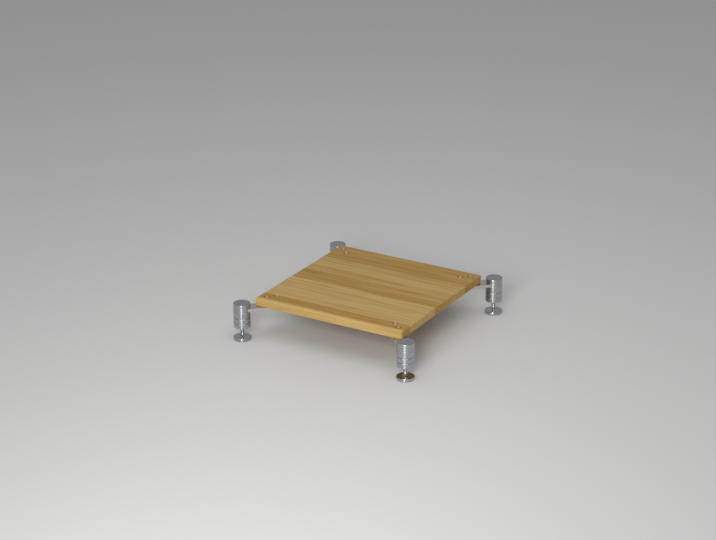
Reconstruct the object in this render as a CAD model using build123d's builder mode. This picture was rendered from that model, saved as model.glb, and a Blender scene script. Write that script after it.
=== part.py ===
from build123d import *

import os
from math import cos, pi, radians, sqrt, tan

# Low hi-fi stand: one square hardwood shelf on four flat diagonal arms, each
# clamped in a polished column that stands on an adjustable spike and a floor disc.
# Millimetres. +Z is up, -Y is the front, the origin is on the floor at the centre.

# The stand as a whole
leg_outset = 29.0               # from the board's sides out to the column axes
column_diameter = 50.0          # shared by the cap, the arm's eye and the pillar
foot_gap = 31.5                 # from the floor disc's top to the pillar's underside

# Shelf board
board_width = 485.0
board_depth = 485.0
board_thickness = 26.0
board_edge_round = 4.0          # along the top and bottom edges
board_corner_round = 2.5        # down the four upright corners

# Diagonal arms
arm_width = 41.0
arm_thickness = 9.0
arm_reach = 128.0               # from the column's axis to the arm's inner end
arm_end_round = 7.0
arm_edge_break = 0.6

# Bolts that hold the board down on the arms
bolt_first = 75.0               # from the column's axis to the outer bolt
bolt_spacing = 30.5             # from the outer bolt to the inner one
bolt_count = 2                  # on each arm
bolt_diameter = 6.0
bolt_length = 25.0              # under the head
bolt_head_diameter = 10.0
bolt_head_height = 6.0
bolt_head_round = 0.6
bolt_socket_flats = 5.0
bolt_socket_depth = 3.0
bolt_hole_play = 0.25           # radial, in the board and in the washer
bolt_washer_diameter = 12.0
bolt_washer_thickness = 1.6
counterbore_diameter = 17.0
head_below_board = 0.4          # the head's top lies this far below the board's

# Column: cap, pillar and the stud that clamps the arm's eye between them
cap_height = 14.0
cap_edge_round = 1.0
pillar_length = 50.0
pillar_edge_break = 0.6
groove_first = 14.5             # from the pillar's underside to its lower groove
groove_spacing = 15.5
groove_count = 2
groove_width = 2.2
groove_depth = 1.1
stud_diameter = 12.0
stud_in_cap = 9.0
stud_in_pillar = 16.0
stud_edge_break = 0.8
stud_hole_spare = 1.5           # depth of each blind hole past the stud's end
eye_play = 0.25                 # radial, between the stud and the arm's eye
thread_play = 0.05              # radial, in every tapped hole

# Adjustable spike with its lock nut and washer
spike_diameter = 12.0
spike_cone_length = 12.0
spike_tip_radius = 0.5
spike_travel = 8.0              # how far the spike screws out of the pillar
spike_engaged = 12.0            # what stays in the pillar at full travel
spike_hole_spare = 2.0
nut_flats = 18.0
nut_height = 5.0
nut_corner_angle = 25.0         # slope of the bevel on the nut's corners
washer_diameter = 21.0
washer_thickness = 1.2

# Floor disc and its pad
disc_diameter = 52.0
disc_height = 9.0
disc_edge_round = 1.5
dish_diameter = 23.0
dish_depth = 3.6
tip_gap = 0.3                   # between the spike's tip and the dish
pad_diameter = 45.0
pad_thickness = 1.5
pad_proud = 0.5                 # how far the pad stands out below the disc
pad_play = 0.1                  # radial, in the disc's recess

# Levels above the floor that follow from the sizes above
disc_bottom = pad_proud
disc_top = disc_bottom + disc_height
tip_level = disc_top - dish_depth + tip_gap
cone_top = tip_level + spike_cone_length
pillar_bottom = disc_top + foot_gap
spike_top = pillar_bottom + spike_engaged + spike_travel
pillar_top = pillar_bottom + pillar_length
arm_bottom = pillar_top
board_bottom = arm_bottom + arm_thickness
board_top = board_bottom + board_thickness
cap_bottom = board_bottom
head_top = board_top - head_below_board
head_bottom = head_top - bolt_head_height
counterbore_floor = head_bottom - bolt_washer_thickness

leg_pitch_x = board_width + 2 * leg_outset
leg_pitch_y = board_depth + 2 * leg_outset
column_radius = column_diameter / 2
bolt_distances = [bolt_first + step * bolt_spacing for step in range(bolt_count)]

# Corner name, side along X (-1 left, 1 right) and side along Y (-1 front, 1 back)
corners = [
    ("front_left", -1, -1),
    ("front_right", 1, -1),
    ("back_right", 1, 1),
    ("back_left", -1, 1),
]


def leg_point(side_x, side_y):
    """The place of one column's axis on the floor."""
    return (side_x * leg_pitch_x / 2, side_y * leg_pitch_y / 2)


def inward_plane(side_x, side_y, level):
    """A level plane at one column whose X points along the arm, to the board."""
    x, y = leg_point(side_x, side_y)
    return Plane(origin=(x, y, level), x_dir=(-side_x, -side_y, 0), z_dir=(0, 0, 1))


def axis_plane(side_x, side_y):
    """An upright plane through one column's axis: its X is a radius, its Y a level."""
    x, y = leg_point(side_x, side_y)
    return Plane(origin=(x, y, 0), x_dir=(1, 0, 0), z_dir=(0, -1, 0))


def column_axis(side_x, side_y):
    """One column's axis, which every turned piece is revolved about."""
    x, y = leg_point(side_x, side_y)
    return Axis((x, y, 0), (0, 0, 1))


def bolt_points(level):
    """Every shelf bolt's place at one level, two along each arm."""
    points = []
    for _, side_x, side_y in corners:
        x, y = leg_point(side_x, side_y)
        for distance in bolt_distances:
            inward = distance / sqrt(2)
            points.append((x - side_x * inward, y - side_y * inward, level))
    return points


def write(part, name):
    """Labels one finished piece and writes it to its own file."""
    part.label = name
    export_step(part, f"parts/{name}.step")


def make_board():
    """The shelf: a glued hardwood panel with a stepped hole for each bolt."""
    with BuildPart() as board:
        with BuildSketch(Plane.XY.offset(board_bottom)):
            Rectangle(board_width, board_depth)
        extrude(amount=board_thickness)
        fillet(board.edges().filter_by(Axis.Z), radius=board_corner_round)
        rims = board.faces().filter_by(Axis.Z).edges()
        fillet(rims, radius=min(board_edge_round, 0.45 * board_thickness))
        with Locations(*bolt_points(board_top)):
            CounterBoreHole(
                radius=bolt_diameter / 2 + bolt_hole_play,
                counter_bore_radius=counterbore_diameter / 2,
                counter_bore_depth=board_top - counterbore_floor,
                depth=board_thickness,
            )
    write(board.part, "shelf_board")


def make_shelf_bolts():
    """All the socket-head bolts that pass through the board into the arms."""
    with BuildPart() as bolts:
        with BuildSketch(Plane.XY.offset(head_bottom - bolt_length)):
            with Locations(*bolt_points(0)):
                Circle(bolt_diameter / 2)
        extrude(amount=bolt_length)
        with BuildSketch(Plane.XY.offset(head_bottom)):
            with Locations(*bolt_points(0)):
                Circle(bolt_head_diameter / 2)
        extrude(amount=bolt_head_height)
        rims = bolts.faces().filter_by(Axis.Z).group_by(Axis.Z)[-1].edges()
        fillet(rims, radius=min(bolt_head_round, 0.4 * bolt_head_height))
        with BuildSketch(Plane.XY.offset(head_top)):
            with Locations(*bolt_points(0)):
                RegularPolygon(bolt_socket_flats / 2, 6, major_radius=False)
        extrude(amount=-bolt_socket_depth, mode=Mode.SUBTRACT)
    write(bolts.part, "shelf_bolts")


def make_bolt_washers():
    """The plain washers under the bolt heads, at the bottom of the stepped holes."""
    with BuildPart() as washers:
        with BuildSketch(Plane.XY.offset(counterbore_floor)):
            with Locations(*bolt_points(0)):
                Circle(bolt_washer_diameter / 2)
                Circle(bolt_diameter / 2 + bolt_hole_play, mode=Mode.SUBTRACT)
        extrude(amount=bolt_washer_thickness)
    write(washers.part, "shelf_bolt_washers")


def make_arm(name, side_x, side_y):
    """A flat bar with a round eye at the column and two tapped holes for the bolts."""
    with BuildPart() as arm:
        with BuildSketch(inward_plane(side_x, side_y, arm_bottom)) as outline:
            with Locations((arm_reach / 2, 0)):
                Rectangle(arm_reach, arm_width)
            fillet(outline.vertices().sort_by(Axis.X)[-2:], radius=arm_end_round)
            Circle(column_radius)
        extrude(amount=arm_thickness)
        level_faces = arm.faces().filter_by(Axis.Z)
        rims = [face.outer_wire().edges() for face in level_faces]
        chamfer([edge for rim in rims for edge in rim], length=arm_edge_break)
        with BuildSketch(inward_plane(side_x, side_y, arm_bottom)):
            Circle(stud_diameter / 2 + eye_play)
            with Locations(*[(distance, 0) for distance in bolt_distances]):
                Circle(bolt_diameter / 2 + thread_play)
        extrude(amount=arm_thickness, mode=Mode.SUBTRACT)
    write(arm.part, f"{name}_arm")


def make_cap(name, side_x, side_y):
    """The column's top: a solid turned cap with a blind tapped hole underneath."""
    hole_radius = stud_diameter / 2 + thread_play
    hole_top = cap_bottom + stud_in_cap + stud_hole_spare
    with BuildPart() as cap:
        with BuildSketch(inward_plane(side_x, side_y, cap_bottom)):
            Circle(column_radius)
        extrude(amount=cap_height)
        fillet(cap.edges().sort_by(Axis.Z)[-1], radius=cap_edge_round)
        chamfer(cap.edges().sort_by(Axis.Z)[0], length=pillar_edge_break)
        with BuildSketch(inward_plane(side_x, side_y, cap_bottom)):
            Circle(hole_radius)
        extrude(amount=hole_top - cap_bottom, mode=Mode.SUBTRACT)
    write(cap.part, f"{name}_cap")


def make_pillar(name, side_x, side_y):
    """The turned lower column: two V grooves and a tapped hole in each end."""
    stud_floor = pillar_top - stud_in_pillar - stud_hole_spare
    spike_roof = spike_top + spike_hole_spare
    with BuildPart() as pillar:
        with BuildSketch(inward_plane(side_x, side_y, pillar_bottom)):
            Circle(column_radius)
        extrude(amount=pillar_length)
        chamfer(pillar.edges().filter_by(GeomType.CIRCLE), length=pillar_edge_break)
        with BuildSketch(axis_plane(side_x, side_y)):
            for step in range(groove_count):
                level = pillar_bottom + groove_first + step * groove_spacing
                with BuildLine():
                    Polyline(
                        (column_radius - groove_depth, level),
                        (column_radius + groove_depth, level + groove_width),
                        (column_radius + groove_depth, level - groove_width),
                        close=True,
                    )
                make_face()
        revolve(axis=column_axis(side_x, side_y), mode=Mode.SUBTRACT)
        with BuildSketch(inward_plane(side_x, side_y, stud_floor)):
            Circle(stud_diameter / 2 + thread_play)
        extrude(amount=pillar_top - stud_floor, mode=Mode.SUBTRACT)
        with BuildSketch(inward_plane(side_x, side_y, pillar_bottom)):
            Circle(spike_diameter / 2 + thread_play)
        extrude(amount=spike_roof - pillar_bottom, mode=Mode.SUBTRACT)
    write(pillar.part, f"{name}_pillar")


def make_stud(name, side_x, side_y):
    """The hidden stud that draws the cap, the arm's eye and the pillar together."""
    bottom = pillar_top - stud_in_pillar
    top = cap_bottom + stud_in_cap
    with BuildPart() as stud:
        with BuildSketch(inward_plane(side_x, side_y, bottom)):
            Circle(stud_diameter / 2)
        extrude(amount=top - bottom)
        chamfer(stud.edges().filter_by(GeomType.CIRCLE), length=stud_edge_break)
    write(stud.part, f"{name}_stud")


def make_lock_washer(name, side_x, side_y):
    """The plain washer between the lock nut and the pillar's polished underside."""
    with BuildPart() as washer:
        with BuildSketch(inward_plane(side_x, side_y, pillar_bottom - washer_thickness)):
            Circle(washer_diameter / 2)
            Circle(spike_diameter / 2 + thread_play, mode=Mode.SUBTRACT)
        extrude(amount=washer_thickness)
    write(washer.part, f"{name}_lock_washer")


def make_lock_nut(name, side_x, side_y):
    """The thin hexagon nut that locks the spike, with bevelled corners."""
    top = pillar_bottom - washer_thickness
    bottom = top - nut_height
    flat_radius = nut_flats / 2
    corner_radius = flat_radius / cos(pi / 6)
    bevel = (corner_radius - flat_radius) * tan(radians(nut_corner_angle))
    with BuildPart() as nut:
        with BuildSketch(inward_plane(side_x, side_y, bottom)):
            RegularPolygon(flat_radius, 6, major_radius=False)
        extrude(amount=nut_height)
        with BuildSketch(axis_plane(side_x, side_y)):
            with BuildLine():
                Polyline(
                    (0, bottom),
                    (flat_radius, bottom),
                    (corner_radius, bottom + bevel),
                    (corner_radius, top - bevel),
                    (flat_radius, top),
                    (0, top),
                    close=True,
                )
            make_face()
        revolve(axis=column_axis(side_x, side_y), mode=Mode.INTERSECT)
        with BuildSketch(inward_plane(side_x, side_y, bottom)):
            Circle(spike_diameter / 2 + thread_play)
        extrude(amount=nut_height, mode=Mode.SUBTRACT)
    write(nut.part, f"{name}_lock_nut")


def make_spike(name, side_x, side_y):
    """The spike: a round shank that screws into the pillar, and a cone to its tip."""
    radius = spike_diameter / 2
    with BuildPart() as spike:
        with BuildSketch(axis_plane(side_x, side_y)):
            with BuildLine():
                Polyline(
                    (0, tip_level),
                    (spike_tip_radius, tip_level),
                    (radius, cone_top),
                    (radius, spike_top - stud_edge_break),
                    (radius - stud_edge_break, spike_top),
                    (0, spike_top),
                    close=True,
                )
            make_face()
        revolve(axis=column_axis(side_x, side_y))
    write(spike.part, f"{name}_spike")


def make_disc(name, side_x, side_y):
    """The floor disc: a dished top for the spike and a recess below for the pad."""
    recess_top = disc_bottom + pad_thickness - pad_proud
    with BuildPart() as disc:
        with BuildSketch(inward_plane(side_x, side_y, disc_bottom)):
            Circle(disc_diameter / 2)
        extrude(amount=disc_height)
        fillet(disc.edges().filter_by(GeomType.CIRCLE), radius=disc_edge_round)
        with BuildSketch(axis_plane(side_x, side_y)):
            with BuildLine():
                Polyline(
                    (0, disc_top - dish_depth),
                    (dish_diameter / 2, disc_top),
                    (0, disc_top),
                    close=True,
                )
            make_face()
        revolve(axis=column_axis(side_x, side_y), mode=Mode.SUBTRACT)
        with BuildSketch(inward_plane(side_x, side_y, disc_bottom)):
            Circle(pad_diameter / 2 + pad_play)
        extrude(amount=recess_top - disc_bottom, mode=Mode.SUBTRACT)
    write(disc.part, f"{name}_floor_disc")


def make_pad(name, side_x, side_y):
    """The thin pad under the floor disc, which the whole stand rests on."""
    with BuildPart() as pad:
        with BuildSketch(inward_plane(side_x, side_y, 0)):
            Circle(pad_diameter / 2)
        extrude(amount=pad_thickness)
    write(pad.part, f"{name}_disc_pad")


os.makedirs("parts", exist_ok=True)

make_board()
make_shelf_bolts()
make_bolt_washers()
for name, side_x, side_y in corners:
    make_arm(name, side_x, side_y)
    make_cap(name, side_x, side_y)
    make_pillar(name, side_x, side_y)
    make_stud(name, side_x, side_y)
    make_lock_washer(name, side_x, side_y)
    make_lock_nut(name, side_x, side_y)
    make_spike(name, side_x, side_y)
    make_disc(name, side_x, side_y)
    make_pad(name, side_x, side_y)
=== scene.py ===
import logging
from collections.abc import Callable, Iterator, Mapping, Sequence
from contextlib import contextmanager
from dataclasses import dataclass
from enum import Enum
from math import asin, atan2, cos, degrees, hypot, pi, radians, sin, tan

import bmesh
import bpy
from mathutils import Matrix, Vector


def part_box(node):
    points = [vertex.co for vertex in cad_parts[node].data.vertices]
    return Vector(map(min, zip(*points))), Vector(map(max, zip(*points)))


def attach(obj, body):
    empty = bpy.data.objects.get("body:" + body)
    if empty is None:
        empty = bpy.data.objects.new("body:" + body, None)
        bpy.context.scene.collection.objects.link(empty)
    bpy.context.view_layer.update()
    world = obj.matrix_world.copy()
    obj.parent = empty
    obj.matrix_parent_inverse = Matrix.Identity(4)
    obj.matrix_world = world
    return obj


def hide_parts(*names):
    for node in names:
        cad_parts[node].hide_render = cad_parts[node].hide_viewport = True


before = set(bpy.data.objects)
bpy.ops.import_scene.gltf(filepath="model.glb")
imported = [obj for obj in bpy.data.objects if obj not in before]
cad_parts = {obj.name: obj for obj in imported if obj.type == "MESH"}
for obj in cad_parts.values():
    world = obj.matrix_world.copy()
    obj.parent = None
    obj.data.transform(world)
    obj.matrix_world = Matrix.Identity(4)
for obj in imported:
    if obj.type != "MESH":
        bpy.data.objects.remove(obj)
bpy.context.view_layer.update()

# The dressed low hi-fi stand: a square board of edge-glued oak staves on four satin bar arms, each
# clamped in a chrome column that stands on a threaded spike and a dished floor disc.
# Lengths in the classes are millimetres; MM turns them into the frame's metres. +Z is up, -Y the front.

MM = 0.001
FRAME_BODY = "stand_frame"
QUARTER = 0.25                   # of a turn
SMOOTH_ANGLE = radians(32.0)     # a sharper edge than this between two faces stays crisp
NORMAL_WEIGHT = 50               # large faces rule the shading normals, so flats stay flat
WELD = 0.001 * MM                # points closer than this are one
WASHER_ROUND = 0.25              # the radius of every washer's outer edges
FINE, COARSE = 128, 48           # flats round a column, and round a small hole or washer
LEVEL_SHARE = 0.5                # a face counts as level if its normal's Z is above this
UPRIGHT_SHARE = 0.3              # and as upright if it is below this
RIM_REACH = 0.4                  # millimetres, within which a face counts as on the arm's rim
KNURL_REACH = 0.01               # the same for a point on a bolt head's side
CLEAR = 1.0                      # how far a cutting tool runs on past the piece, in millimetres

log = logging.getLogger("stand")

Point = tuple[float, float]
Colour = tuple[float, float, float, float]
Socket = bpy.types.NodeSocket
Node = bpy.types.Node
Tree = bpy.types.NodeTree
Piece = bpy.types.Object
Material = bpy.types.Material
Vertex = bmesh.types.BMVert
Face = bpy.types.MeshPolygon
Inputs = Mapping[str | int, object]


def levels(node: str) -> Point:
    """The lowest and highest level of one of the frame's nodes, in millimetres."""
    low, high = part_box(node)
    return low.z / MM, high.z / MM


class Corner(Enum):
    """The stand's four corners, by the word that their nodes' names start with."""

    FRONT_LEFT = "front_left"
    FRONT_RIGHT = "front_right"
    BACK_RIGHT = "back_right"
    BACK_LEFT = "back_left"

    def node(self, piece: str) -> str:
        """The name of one of this corner's pieces."""
        return f"{self.value}_{piece}"

    def axis(self) -> Vector:
        """The point on the floor under this corner's column."""
        low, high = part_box(self.node("pillar"))
        return Vector(((low.x + high.x) / 2, (low.y + high.y) / 2, 0.0))

    def inward(self) -> Vector:
        """The level direction from the column to the middle of the board."""
        return (-self.axis()).normalized()


class Slot(Enum):
    """The record's material slots."""

    WOOD = "oiled_wood"
    SATIN = "satin_metal"
    CHROME = "polished_chrome"
    PLATED = "plated_steel"
    BOLT = "bolt_steel"
    PAD = "pad_rubber"


# Helpers for node trees


def linear(hex_colour: str) -> Colour:
    """Turns an sRGB hex colour into the linear colour that a shader takes."""
    levels = [int(hex_colour[at:at + 2], 16) / 255 for at in (1, 3, 5)]
    red, green, blue = (v / 12.92 if v <= 0.04045 else ((v + 0.055) / 1.055) ** 2.4 for v in levels)
    return red, green, blue, 1.0


def find_socket(sockets: Sequence[Socket], name: str | int = 0) -> Socket:
    """Picks a socket, by its name or its place, among those that the settings leave in use."""
    used = [socket for socket in sockets if socket.enabled]
    if isinstance(name, int):
        return used[name]
    return next(socket for socket in used if socket.name == name)


def add_node(tree: Tree, kind: str, values: Inputs | None = None) -> Node:
    """Adds one node.

    Args:
        tree: The tree that the node goes into.
        kind: The node's type.
        values: The node's own properties by name, and its inputs by name or place. An input
            takes a constant, a socket, or a node for that node's first output.
    """
    node = tree.nodes.new(kind)
    values = values or {}
    own = [name for name in values if isinstance(name, str) and name in node.bl_rna.properties]
    for name in own:
        setattr(node, name, values[name])
    for name in values.keys() - set(own):
        socket, source = find_socket(node.inputs, name), values[name]
        if isinstance(source, Node):
            source = find_socket(source.outputs)
        if isinstance(source, Socket):
            tree.links.new(source, socket)
        else:
            socket.default_value = source
    return node


def calculate(
    tree: Tree, operation: str, *values: object, vector: bool = False, clamp: bool = False
) -> Node:
    """Adds one node of arithmetic.

    Args:
        tree: The tree that the node goes into.
        operation: What it works out.
        values: Its inputs in order.
        vector: Whether it works on vectors.
        clamp: Whether the result is kept between 0 and 1.
    """
    inputs = {"operation": operation} | dict(enumerate(values))
    if clamp:
        inputs["use_clamp"] = True
    return add_node(tree, "ShaderNodeVectorMath" if vector else "ShaderNodeMath", inputs)


def remap(
    tree: Tree, value: Node, low: float, high: float, start: float = 0.0, end: float = 1.0
) -> Node:
    """Maps a value that runs from start to end onto low to high, and no further."""
    limits = {"From Min": start, "From Max": end, "To Min": low, "To Max": high}
    return add_node(tree, "ShaderNodeMapRange", {"Value": value} | limits)


def mix(tree: Tree, share: Node, first: Colour | Node, second: Colour | Node) -> Node:
    """Mixes two colours by the share of the second one."""
    values = {"data_type": "RGBA", "Factor": share, "A": first, "B": second}
    return add_node(tree, "ShaderNodeMix", values)


def add_ramp(tree: Tree, value: Node, interpolation: str, stops: Sequence[Point]) -> Node:
    """Adds a ramp of greys.

    Args:
        tree: The tree that the node goes into.
        value: Where on the ramp to look, from 0 to 1.
        interpolation: How the ramp runs from one stop to the next.
        stops: The place and the level of each stop, in order.
    """
    node = add_node(tree, "ShaderNodeValToRGB", {0: value})
    node.color_ramp.interpolation = interpolation
    elements = node.color_ramp.elements
    while len(elements) < len(stops):
        elements.new(1.0)
    for element, (place, level) in zip(elements, stops):
        element.position = place
        element.color = (level, level, level, 1.0)
    return node


def find_place(tree: Tree) -> Socket:
    """The point on the surface, in the object's own frame."""
    return add_node(tree, "ShaderNodeTexCoord").outputs["Object"]


def read(tree: Tree, attribute: str, output: str = "Vector") -> Socket:
    """Reads an attribute of the mesh."""
    return add_node(tree, "ShaderNodeAttribute", {"attribute_name": attribute}).outputs[output]


def stretch(tree: Tree, place: Node | Socket, length: float, width: float) -> Node:
    """Draws a pattern out along X, to so long and so wide."""
    scale = (1 / length, 1 / width, 1 / width)
    return add_node(tree, "ShaderNodeMapping", {"Vector": place, "Scale": scale})


def add_noise(
    tree: Tree, place: Node | Socket, scale: float = 1.0, detail: float = 2.0,
    roughness: float = 0.5,
) -> Node:
    """Adds a noise about 0.5."""
    values = {"Vector": place, "Scale": scale, "Detail": detail, "Roughness": roughness}
    return add_node(tree, "ShaderNodeTexNoise", values)


def bump(tree: Tree, relief: Node, strength: float, height: float) -> Node:
    """Turns a noise into a relief of so many millimetres, of which so much shows."""
    values = {"Height": relief, "Strength": strength, "Distance": height * MM}
    return add_node(tree, "ShaderNodeBump", values)


# Helpers for meshes


def arc(centre: Point, radius: float, start: float, end: float, steps: int) -> list[Point]:
    """Points along an arc, with both its ends, from its first angle to its last in degrees."""
    angles = [radians(start + (end - start) * step / steps) for step in range(steps + 1)]
    return [(centre[0] + radius * cos(angle), centre[1] + radius * sin(angle)) for angle in angles]


def add_object(name: str, data: bpy.types.ID) -> Piece:
    """Puts a mesh, a lamp or a camera into the scene as an object at the origin."""
    piece = bpy.data.objects.new(name, data)
    bpy.context.scene.collection.objects.link(piece)
    return piece


def to_object(name: str, form: bmesh.types.BMesh) -> Piece:
    """Turns a closed bmesh, which is freed, into an object whose faces point outwards."""
    bmesh.ops.remove_doubles(form, verts=form.verts, dist=WELD)
    bmesh.ops.recalc_face_normals(form, faces=form.faces)
    mesh = bpy.data.meshes.new(name)
    form.to_mesh(mesh)
    form.free()
    return add_object(name, mesh)


@contextmanager
def editing(piece: Piece) -> Iterator[bmesh.types.BMesh]:
    """Opens a piece's mesh as a bmesh and writes it back at the end."""
    form = bmesh.new()
    form.from_mesh(piece.data)
    yield form
    form.to_mesh(piece.data)
    form.free()


def make_plain(piece: Piece) -> None:
    """Replaces an object's mesh by what its modifiers make of it, and removes them."""
    graph = bpy.context.evaluated_depsgraph_get()
    old = piece.data
    piece.data = bpy.data.meshes.new_from_object(
        piece.evaluated_get(graph), preserve_all_data_layers=True, depsgraph=graph
    )
    piece.modifiers.clear()
    bpy.data.meshes.remove(old)
    piece.data.name = piece.name


def cut(piece: Piece, tool: Piece, operation: str = "DIFFERENCE") -> Piece:
    """Cuts one closed shape with another, throws the tool away and gives the piece back."""
    modifier = piece.modifiers.new("cut", "BOOLEAN")
    modifier.object = tool
    modifier.operation = operation
    modifier.solver = "EXACT"
    make_plain(piece)
    bpy.data.objects.remove(tool)
    return piece


def smooth(piece: Piece) -> None:
    """Shades a piece smooth, with crisp edges and flat flats."""
    with editing(piece) as form:
        for edge in form.edges:
            edge.smooth = len(edge.link_faces) == 2 and edge.calc_face_angle(0.0) < SMOOTH_ANGLE
        for face in form.faces:
            face.smooth = True
    modifier = piece.modifiers.new("weigh normals", "WEIGHTED_NORMAL")
    modifier.weight = NORMAL_WEIGHT
    modifier.keep_sharp = True
    make_plain(piece)


def join_rows(form: bmesh.types.BMesh, rows: Sequence[Sequence[Vertex]], closed: bool) -> None:
    """Spans faces between rows of points that each run once round the shape.

    Args:
        form: The shape.
        rows: The rows in order. A row may be one point.
        closed: Whether the last row joins the first one too.
    """
    segments = max(len(row) for row in rows)
    for low, high in zip(rows, [*rows[1:], rows[0]] if closed else rows[1:]):
        for step in range(segments):
            after = (step + 1) % segments
            corners = [low[step % len(low)], low[after % len(low)]]
            corners += [high[after % len(high)], high[step % len(high)]]
            form.faces.new(dict.fromkeys(corners))


def turn(
    name: str, outline: Sequence[Point], axis: Vector = Vector(), segments: int = FINE,
    ring: bool = False,
) -> Piece:
    """Turns an outline about an upright axis into a closed shape, as on a lathe.

    Args:
        name: The object's name.
        outline: Radius and level of each point in millimetres. It runs from the axis back to
            the axis, or closes on itself where ring is true.
        axis: The point on the floor that the axis passes through.
        segments: How many flats the round has.
        ring: Whether the shape has a hole all the way through.

    Returns:
        The new object, with each point's place in its mesh.
    """
    form = bmesh.new()
    rows = []
    for radius, level in outline:
        reach, height = radius * MM, level * MM
        if radius < WELD / MM:
            rows.append([form.verts.new((axis.x, axis.y, height))])
            continue
        angles = [2 * pi * step / segments for step in range(segments)]
        places = [(axis.x + reach * cos(angle), axis.y + reach * sin(angle)) for angle in angles]
        rows.append([form.verts.new((x, y, height)) for x, y in places])
    join_rows(form, rows, closed=ring)
    return to_object(name, form)


def stack(name: str, layers: Sequence[tuple[Sequence[Point], float]]) -> Piece:
    """Joins level outlines, one above the other, into a closed shape.

    Args:
        name: The object's name.
        layers: Each outline's points in metres and its level in millimetres, going up.
    """
    form = bmesh.new()
    rows = [[form.verts.new((x, y, level * MM)) for x, y in points] for points, level in layers]
    join_rows(form, rows, closed=False)
    form.faces.new(rows[0])
    form.faces.new(rows[-1])
    return to_object(name, form)


def hexagon(name: str, centre: Vector, flats: float, towards: Vector, levels: Point) -> Piece:
    """Builds an upright hexagonal prism.

    Args:
        name: The object's name.
        centre: The point on the floor under its middle.
        flats: Its width across flats, in millimetres.
        towards: The level direction that one of its corners points in.
        levels: Its lowest and highest level, in millimetres.
    """
    first, reach = degrees(atan2(towards.y, towards.x)), flats * MM / 2 / cos(pi / 6)
    outline = arc((centre.x, centre.y), reach, first, first + 300, 5)
    return stack(name, [(outline, level) for level in levels])


def store(piece: Piece, name: str, kind: str, value_at: Callable[[Vector], object]) -> None:
    """Stores an attribute on each point of a piece, from a function of the point's place."""
    attribute = piece.data.attributes.new(name, kind, "POINT")
    key = "vector" if kind == "FLOAT_VECTOR" else "value"
    for vertex, item in zip(piece.data.vertices, attribute.data):
        setattr(item, key, value_at(vertex.co))


def mark_turned(piece: Piece, axis: Vector) -> None:
    """Stores where the lathe's tool ran, for the turned finishes.

    The vector attribute "around" is the direction of the cut at each point, and the float
    attribute "across" is the distance over the surface across the cuts, in millimetres.
    """
    def around(place: Vector) -> Vector:
        """The direction of the cut at one point."""
        return Vector((axis.y - place.y, place.x - axis.x, 0.0)).normalized()

    def across(place: Vector) -> float:
        """The distance over the surface, across the cuts."""
        return (place.z - hypot(place.x - axis.x, place.y - axis.y)) / MM

    store(piece, "around", "FLOAT_VECTOR", around)
    store(piece, "across", "FLOAT", across)


def hand_over(piece: Piece, body: str, slot: Slot, material: Material, *nodes: str) -> None:
    """Dresses a finished piece and gives it to the frame.

    Args:
        piece: The finished piece.
        body: The body that it moves with.
        slot: Not used.
        material: Its material.
        nodes: The nodes of the frame that it stands for.
    """
    piece.data.materials.clear()
    piece.data.materials.append(material)
    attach(piece, body)
    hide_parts(*nodes)
    log.info("%s rides on %s, %d faces", piece.name, body, len(piece.data.polygons))


def refinish(piece: Piece, material: Material, chosen: Callable[[Face], bool]) -> None:
    """Gives a second finish to the faces that are chosen."""
    piece.data.materials.append(material)
    for face in piece.data.polygons:
        face.material_index = int(chosen(face))


# Finishes


@dataclass(frozen=True)
class Finish:
    """A material with one shader. Each kind of finish says what feeds the shader."""

    name: str

    def shade(self, tree: Tree) -> Inputs:
        """Adds the nodes that feed the shader.

        Args:
            tree: The material's tree.
        """
        raise NotImplementedError

    def build(self) -> Material:
        """Builds the material."""
        material = bpy.data.materials.new(self.name)
        material.use_nodes = True
        tree = material.node_tree
        tree.nodes.clear()
        shader = add_node(tree, "ShaderNodeBsdfPrincipled", self.shade(tree))
        add_node(tree, "ShaderNodeOutputMaterial", {"Surface": shader})
        return material


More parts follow.
